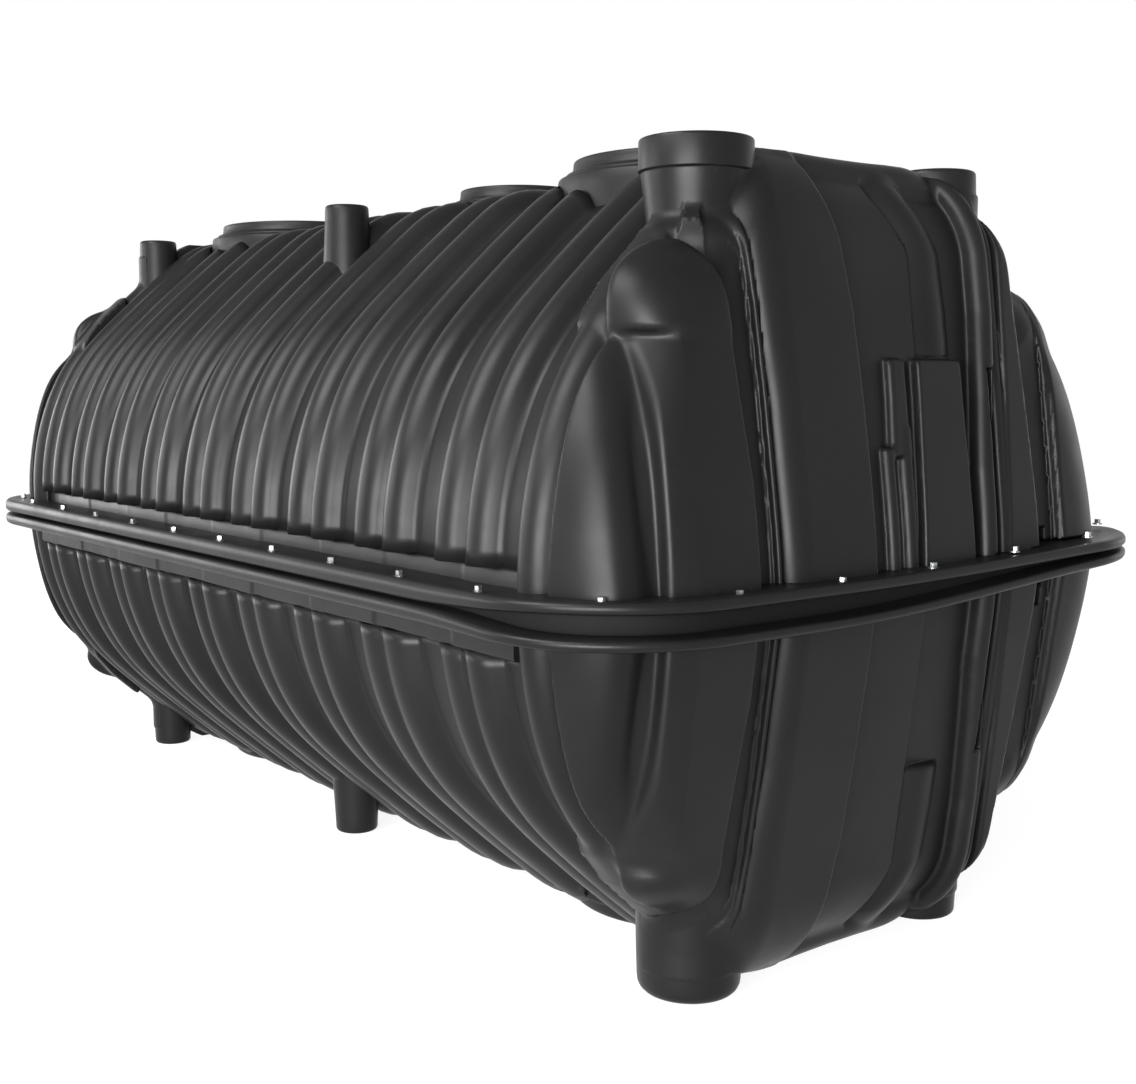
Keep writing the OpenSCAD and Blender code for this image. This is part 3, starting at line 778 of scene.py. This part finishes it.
def plastic(name, colour, rough, dust=0.35, scuff=0.5, relief=0.00035):
    """Satin moulded plastic: slow change of shade, dust, rubs and moulded grain."""
    _, tree, face = new_material(name)
    face["Specular IOR Level"].default_value = 0.14
    shade = mix(tree, smooth(tree, noise(tree, 1.6, 4.0), 0.35, 0.65),
                (*[c * 0.85 for c in colour], 1), (*[min(c * 1.2, 1) for c in colour], 1))
    dusty = use_group(tree, "Settled dust", Amount=dust)
    rubbed = use_group(tree, "Scuffs", Amount=scuff)
    tone = mix(tree, rubbed * 0.10, shade, (0.08, 0.08, 0.085, 1))
    feed(tree, face["Base Color"], mix(tree, dusty * 0.06, tone, (0.20, 0.19, 0.18, 1)))
    change = smooth(tree, noise(tree, 7.0, 5.0, 0.6), 0.3, 0.7, -0.04, 0.05)
    feed(tree, face["Roughness"], rough + change + dusty * 0.25 + rubbed * 0.08)
    feed(tree, face["Normal"], place(tree, "ShaderNodeBump", {
        "Strength": 0.5, "Distance": relief, "Height": use_group(tree, "Moulded grain")}))


def zinc(name):
    """Zinc-plated steel of the bolts: spangled shade and fine scratches."""
    _, tree, face = new_material(name)
    face["Metallic"].default_value = 1.0
    spangle = place(tree, "ShaderNodeTexVoronoi", {"Vector": object_place(tree), "Scale": 420.0})
    feed(tree, face["Base Color"], mix(tree, spangle * 0.8, (0.30, 0.31, 0.32, 1), (0.44, 0.45, 0.46, 1)))
    feed(tree, face["Roughness"], smooth(tree, noise(tree, 300.0, 4.0), 0.3, 0.7, 0.26, 0.44))
    feed(tree, face["Normal"], place(tree, "ShaderNodeBump", {
        "Strength": 0.3, "Distance": 0.0002, "Height": noise(tree, 900.0)}))


# ---- Sizes and colours that a user would change ----


class TankSizes(bpy.types.PropertyGroup):
    """Sizes of the finished surfaces."""

    cell: bpy.props.FloatProperty(name="Cell", description="Width of the cells that draw the end walls",
                                  default=0.007, min=0.005, max=0.02, unit="LENGTH")
    columns: bpy.props.IntProperty(name="Columns", description="Columns of points along a half barrel",
                                   default=320, min=100, max=500)
    rows: bpy.props.IntProperty(name="Rows", description="Rows of points round a half barrel",
                                default=78, min=40, max=120)
    bolts: bpy.props.IntProperty(name="Bolts", description="Bolts round the seam", default=34, min=12, max=60)
    bolt_head: bpy.props.FloatProperty(name="Bolt head", description="Radius of a bolt's head",
                                       default=0.0075, min=0.005, max=0.014, unit="LENGTH")


class TankFinish(bpy.types.PropertyGroup):
    """Colours and sheen of the finished surfaces."""

    shell: bpy.props.FloatVectorProperty(name="Shell", description="Colour of the moulded plastic",
                                         default=(0.0060, 0.0060, 0.0064), min=0, max=1, subtype="COLOR")
    rubber: bpy.props.FloatVectorProperty(name="Seal", description="Colour of the rubber seal",
                                          default=(0.005, 0.005, 0.005), min=0, max=1, subtype="COLOR")
    sheen: bpy.props.FloatProperty(name="Roughness", description="Roughness of the moulded plastic",
                                   default=0.37, min=0.1, max=0.9, subtype="FACTOR")


def sizes():
    return bpy.context.scene.tank_sizes


def finish():
    return bpy.context.scene.tank_finish


# ---- One operator for each group of pieces ----


class BuildFinishes(bpy.types.Operator):
    """Makes the materials of the shells, the seal and the bolts"""

    bl_idname = "tank.finishes"
    bl_label = "Finishes"

    def execute(self, context):
        grain_group()
        dust_group()
        scuff_group()
        shell, sheen = finish().shell, finish().sheen
        plastic("barrel plastic", shell, sheen)
        plastic("end plastic", shell, sheen + 0.03, dust=0.25)
        plastic("flange plastic", shell, sheen - 0.02, dust=0.5, scuff=0.8)
        plastic("collar plastic", shell, sheen + 0.02, dust=0.5, scuff=0.6)
        plastic("post plastic", shell, sheen, scuff=0.7)
        plastic("seal rubber", finish().rubber, 0.75, dust=0.6, scuff=0.2, relief=0.0006)
        zinc("bolt zinc")
        return {"FINISHED"}


class BuildBarrels(bpy.types.Operator):
    """Bends the two ribbed half barrels"""

    bl_idname = "tank.barrels"
    bl_label = "Barrels"

    def execute(self, context):
        tree = barrel_tree()
        holes = {hole: (x, 0.0, r + 0.020) for hole, (x, r) in zip(HOLES, MANHOLES.values())}
        ribs = {"upper": {}, "lower": {"Gap": 0.084, "Rib Radius": 0.060, "Melt": 0.010}}
        for half, pads in (("upper", "crown_pads"), ("lower", "keel_pads")):
            obj = grow(half + "_barrel_shell", tree, {
                "Columns": sizes().columns, "Rows": sizes().rows, "Length": 2 * CAP_X,
                "Foot": BAND[half], "Side": float(SIGN[half]),
                "Material": bpy.data.materials["barrel plastic"], **ribs[half], **holes}, wall=WALL)
            dress(obj, "barrel", [half + "_barrel", pads])
        return {"FINISHED"}


def notches(x, pitch, shift, steepness, height):
    """Row of steps along the tank, with ramps between them."""
    return np.clip(np.sin(x * 2 * np.pi / pitch + shift) * steepness, 0, 1) * height


class BuildBands(bpy.types.Operator):
    """Lofts the plain bands along the sides, between the ribs and the lips"""

    bl_idname = "tank.bands"
    bl_label = "Side bands"

    def execute(self, context):
        xs = np.linspace(-CAP_X, CAP_X, 400)
        inner = BARREL_R - RIB_H - 2 * WALL
        for half, sunk in (("upper", RIB_H - 0.004), ("lower", 0.008)):
            low_z, top_z = BASE[half] - 0.014, BAND[half] - notches(xs, 0.858, 2.1, 20, 0.002)
            out = BARREL_R - sunk + notches(xs, 0.572, 0.7, 14, 0.003)
            ring = [(inner, low_z), (out, low_z), (out, top_z - 0.008), (out - 0.002, top_z - 0.003),
                    (out - 0.007, top_z), (inner, top_z)]
            shapes = []
            for side in (-1, 1):
                points, faces = loft([line(xs, side * y, HALF_H + SIGN[half] * z) for y, z in ring],
                                     close_columns=True)
                first = np.array([[0, 1, 2, 5], [2, 3, 4, 5]])
                last = first[:, ::-1] + len(points) - len(ring)
                shapes.append(outwards(points, np.concatenate([faces, first, last])))
            settle(half + "_side_band_shell", shapes, "barrel", [half + "_side_bands"], "barrel plastic",
                   crisp=35)
        return {"FINISHED"}


class BuildEnds(bpy.types.Operator):
    """Draws the four end walls with their ribs, panels, corners and the roots of the posts"""

    bl_idname = "tank.ends"
    bl_label = "End walls"

    def execute(self, context):
        cell = sizes().cell
        for half in ("upper", "lower"):
            axes = (ticks(CAP_X - 0.04, END_X + 0.07, cell * 1.25),
                    ticks(-BARREL_R - 0.03, BARREL_R + 0.03, cell, FINE_Y),
                    ticks(BASE[half] - 0.07, CROWN + 0.02, cell * 1.35))
            for front in (True, False):
                points, faces, normals = skin(end_field(half, front), axes)
                turn = np.array((1 if front else -1, 1, SIGN[half]))
                points, normals = points * turn, normals * turn
                points[:, 2] += HALF_H
                if turn.prod() < 0:
                    faces = faces[:, ::-1]
                end = half + ("_front" if front else "_rear")
                settle(end + "_end_shell", [(points, faces)], "end",
                       [end + n for n in ("_end", "_ribs", "_left_corner", "_right_corner")],
                       "end plastic", normals=normals)
        return {"FINISHED"}


def heading(angle):
    return np.array((math.cos(angle), math.sin(angle)))


def seam_loop(step=0.05):
    """Points and outward directions round the edge of the lips."""
    at, out = [], []
    cx, cy = EDGE_X - EDGE_R, EDGE_Y - EDGE_R
    for quarter, (sx, sy) in enumerate(((1, 1), (-1, 1), (-1, -1), (1, -1))):
        for a in np.linspace(0, np.pi / 2, 25) + quarter * np.pi / 2:
            out.append(heading(a))
            at.append(np.array((sx * cx, sy * cy)) + EDGE_R * out[-1])
        run = 2 * (cx if quarter % 2 == 0 else cy)
        start, side = at[-1], heading(quarter * np.pi / 2 + np.pi)
        for t in np.arange(step, run - step / 2, step):
            at.append(start + side * t)
            out.append(out[-1])
    return np.array(at), np.array(out)


def sweep(profile):
    """Closed ring round the seam; the profile gives, for places x and y, rings of inset and level."""
    at, out = seam_loop()
    lines = [line(*(at - out * inset).T, HALF_H + level) for inset, level in profile(*at.T)]
    return outwards(*loft(lines, close_rows=True, close_columns=True))


def seam_levels(x, y):
    """Levels of the two lips at a place: upper top, upper underside, lower top, lower underside."""
    middle_z = SEAM_Z - 0.003 + seam_rise(x, y)
    gap = seam_gap(x, y)
    front = smooth_step(1.0, 1.5, x)
    up, down = middle_z + gap / 2, middle_z - gap / 2
    return up + 0.036 - 0.013 * front, up, down, down - 0.031 + 0.010 * front


# Insets of a lip's rings, and their depth from its outer face as a part of its thickness: the underside,
# the rounded edge, the raised bead and the flat
LIP = ((0.150, 1.0), (0.010, 1.0), (0.004, 0.93), (0.0, 0.75), (0.0, 0.35), (0.003, 0.12), (0.009, 0.0),
       (0.020, 0.0), (0.028, 0.04), (0.036, 0.10), (0.044, 0.12), (0.150, 0.12))
# Insets of the seal's rings, and their level as a part of half its height
SEAL = ((0.125, 1.0), (0.062, 1.0), (0.058, 0.6), (0.058, -0.6), (0.062, -1.0), (0.125, -1.0))


def upper_lip(x, y):
    top, under, _, _ = seam_levels(x, y)
    return [(inset, top + part * (under - top)) for inset, part in LIP]


def lower_lip(x, y):
    _, _, top, under = seam_levels(x, y)
    return [(inset, under + part * (top - under)) for inset, part in LIP]


def seal(x, y):
    """Seal that stands 3 mm into each lip."""
    _, up, down, _ = seam_levels(x, y)
    up, down = up + 0.003, down - 0.003
    return [(inset, (up + down) / 2 + part * ((up - down) / 2)) for inset, part in SEAL]


class BuildSeam(bpy.types.Operator):
    """Sweeps the two lips and the seal between them round the seam"""

    bl_idname = "tank.seam"
    bl_label = "Seam"

    def execute(self, context):
        for name, profile, slot, node, material in (
                ("upper_lip_shell", upper_lip, "flange", "upper_flange", "flange plastic"),
                ("lower_lip_shell", lower_lip, "flange", "lower_flange", "flange plastic"),
                ("seal_ring", seal, "gasket", "seam_gasket", "seal rubber")):
            settle(name, [sweep(profile)], slot, [node], material, crisp=50)
        return {"FINISHED"}


class BuildCollars(bpy.types.Operator):
    """Turns the three manhole collars and the closed bosses under them"""

    bl_idname = "tank.collars"
    bl_label = "Collars and bosses"

    def execute(self, context):
        sole = HALF_H - HAIR
        for name, (x, r) in MANHOLES.items():
            top, deck, outer = COLLAR_TOP, CROWN + 0.003, r + RING_W
            ring = bend((r - WALL, LEDGE_Z, 0), (r - WALL, top, 0.004), (r - 0.001, top, 0.005),
                        (r, top - 0.014, 0.004), (r + 0.003, deck + 0.012, 0.006),
                        (r + 0.018, deck + 0.010, 0.006), (r + 0.021, deck, 0.005),
                        (outer - 0.002, deck, 0.010), (outer, deck - 0.020, 0.006),
                        (outer + 0.001, INSIDE_Z, 0))
            ring += [(outer - WALL, INSIDE_Z), (outer - WALL, LEDGE_Z)]
            turned(name + "_collar_shell", ring, (x, 0), "upper", "collar", name + "_manhole_collar",
                   "collar plastic", turns=120)
            boss = bend((HAIR, sole, 0), (r, sole, 0.018), (r + 0.012, CROWN - 0.044, 0.010),
                        (r + 0.030, CROWN - 0.040, 0.008), (outer, CROWN - 0.044, 0.012),
                        (outer + 0.002, INSIDE_Z, 0))
            boss += [(outer - WALL, INSIDE_Z), (r - 0.01, sole - WALL), (HAIR, sole - WALL)]
            turned(name + "_boss_shell", boss, (x, 0), "lower", "boss", name + "_boss",
                   "collar plastic", turns=120)
        return {"FINISHED"}


def post_outline(r, upper):
    """Outline of a post or foot from its end to its root inside the shell."""
    top = POST_TOP if upper else HALF_H - HAIR
    if r > BIG_R and upper:
        rim = top - 0.062
        outline = bend((HAIR, top, 0), (r - 0.001, top, 0.006), (r, rim, 0.004),
                       (r - 0.005, rim - 0.002, 0.003), (r - 0.006, rim - 0.012, 0.02),
                       (0.095, INSIDE_Z, 0.05), (0.082, 0.56, 0))
    elif r > BIG_R:
        outline = bend((HAIR, top, 0), (r - 0.007, top, 0.028), (r - 0.004, top - 0.10, 0.03),
                       (r - 0.002, 0.60, 0), (r - 0.002, 0.56, 0))
    else:
        outline = bend((HAIR, top, 0), (r - 0.010, top, 0.010), (r - 0.008, top - 0.05, 0.02),
                       (r, 0.66, 0.02), (r, 0.50, 0))
    return outline + [(HAIR, outline[-1][1])]


class BuildPosts(bpy.types.Operator):
    """Turns the posts over the roof and the feet under the tank"""

    bl_idname = "tank.posts"
    bl_label = "Posts and feet"

    def execute(self, context):
        for half, word in (("upper", "post"), ("lower", "foot")):
            for spot in ("front", "middle", "rear"):
                for side in ("left", "right"):
                    x, y, r = post_of(f"{spot}_{side}_foot")
                    node = f"{spot}_{side}_{word}"
                    turned(node + "_shell", post_outline(r, half == "upper"), (x, y), half, "post", node,
                           "post plastic")
        return {"FINISHED"}


class BuildBolts(bpy.types.Operator):
    """Sets the bolts along the upper lip"""

    bl_idname = "tank.bolts"
    bl_label = "Seam bolts"

    def execute(self, context):
        inset = 0.040
        obj = grow("seam_bolts", bolt_tree(), {
            "Length": 2 * (EDGE_X - inset), "Width": 2 * (EDGE_Y - inset), "Corner": EDGE_R - inset,
            "Count": sizes().bolts, "Height": HALF_H + 0.007, "Head": sizes().bolt_head,
            "Material": bpy.data.materials["bolt zinc"]})
        dress(obj, "flange")
        return {"FINISHED"}


FLOOR_HALF = 60.0
CAMERA_AT, CAMERA_LOOK = (3.404, -2.341, 1.237), (-0.7813, 0.6144, -0.1101)
# Soft lights: name, width and height, place, where it aims, watts
LAMPS = (("key", (4.6, 2.4), (4.7, -6.4, 1.3), (1.4, -0.5, 0.9), 1250),
         ("left", (4.0, 2.0), (-5.0, -6.5, 2.2), (0, 0, 0.9), 170),
         ("rear left", (3.0, 3.0), (-8.5, -3.0, 1.8), (0, -0.5, 1.0), 170),
         ("top left", (4.0, 3.0), (0.5, -5.0, 5.0), (0.3, -0.4, 1.2), 620),
         ("right", (2.5, 2.0), (1.8, 7.0, 1.6), (1.4, 0, 0.9), 15))


def shown(tree):
    """One where a thing is seen, straight or in shine or glass, and nothing where it only gives light."""
    path = tree.nodes.new("ShaderNodeLightPath")
    seen = calc(tree, "MAXIMUM", path.outputs["Is Camera Ray"], path.outputs["Is Glossy Ray"])
    return calc(tree, "MAXIMUM", seen, path.outputs["Is Transmission Ray"])


class BuildStage(bpy.types.Operator):
    """Sets the floor, the soft lights and the camera"""

    bl_idname = "tank.stage"
    bl_label = "Stage"

    def execute(self, context):
        scene = bpy.context.scene
        mesh = bpy.data.meshes.new("floor")
        corners = [(x * FLOOR_HALF, y * FLOOR_HALF, 0) for x, y in ((-1, -1), (1, -1), (1, 1), (-1, 1))]
        mesh.from_pydata(corners, [], [(0, 1, 2, 3)])
        add_object("floor", mesh)
        mat, tree, face = new_material("pale floor")
        tone = mix(tree, noise(tree, 0.7, 4.0), (0.21, 0.21, 0.21, 1), (0.23, 0.23, 0.23, 1))
        feed(tree, face["Base Color"], tone)
        face["Roughness"].default_value = 0.9
        face["Emission Color"].default_value = (1, 1, 1, 1)
        feed(tree, face["Emission Strength"], shown(tree) * 0.86)
        mesh.materials.append(mat)
        world = bpy.data.worlds.new("pale room")
        scene.world = world
        world.use_nodes = True
        tree = world.node_tree
        back = tree.nodes["Background"]
        back.inputs["Color"].default_value = (1, 1, 1, 1)
        # The room is white round the horizon and dimmer overhead
        up = split(tree, place(tree, "ShaderNodeTexCoord", out="Generated"))[2]
        feed(tree, back.inputs["Strength"], smooth(tree, up, 0.25, 0.80, 1.0, 0.30))
        for name, (wide, tall), spot, aim, power in LAMPS:
            lamp = bpy.data.lights.new(name, "AREA")
            lamp.shape, lamp.size, lamp.size_y, lamp.energy = "RECTANGLE", wide, tall, power
            obj = add_object(name, lamp)
            obj.location = spot
            obj.rotation_euler = (Vector(spot) - Vector(aim)).to_track_quat("Z", "Y").to_euler()
        camera = bpy.data.cameras.new("camera")
        camera.lens, camera.sensor_width = 45.96, 36.0
        obj = add_object("camera", camera)
        obj.location = CAMERA_AT
        obj.rotation_euler = Vector(CAMERA_LOOK).to_track_quat("-Z", "Y").to_euler()
        scene.camera = obj
        scene.view_settings.view_transform = "Standard"
        return {"FINISHED"}


class TankPanel(bpy.types.Panel):
    """Buttons that build the tank's surfaces"""

    bl_label = "Septic tank"
    bl_idname = "TANK_PT_build"
    bl_space_type = "VIEW_3D"
    bl_region_type = "UI"
    bl_category = "Tank"

    def draw(self, context):
        for group in (context.scene.tank_sizes, context.scene.tank_finish):
            for key in group.__annotations__:
                self.layout.prop(group, key)
        for step in STEPS:
            self.layout.operator(step.bl_idname)


STEPS = (BuildFinishes, BuildBarrels, BuildBands, BuildEnds, BuildSeam, BuildCollars, BuildPosts, BuildBolts,
         BuildStage)
CLASSES = (TankSizes, TankFinish, *STEPS, TankPanel)


def register():
    for cls in CLASSES:
        bpy.utils.register_class(cls)
    bpy.types.Scene.tank_sizes = bpy.props.PointerProperty(type=TankSizes)
    bpy.types.Scene.tank_finish = bpy.props.PointerProperty(type=TankFinish)


def unregister():
    del bpy.types.Scene.tank_sizes
    del bpy.types.Scene.tank_finish
    for cls in reversed(CLASSES):
        bpy.utils.unregister_class(cls)


def main():
    register()
    for step in STEPS:
        family, action = step.bl_idname.split(".")
        getattr(getattr(bpy.ops, family), action)()


if __name__ == "__main__":
    main()
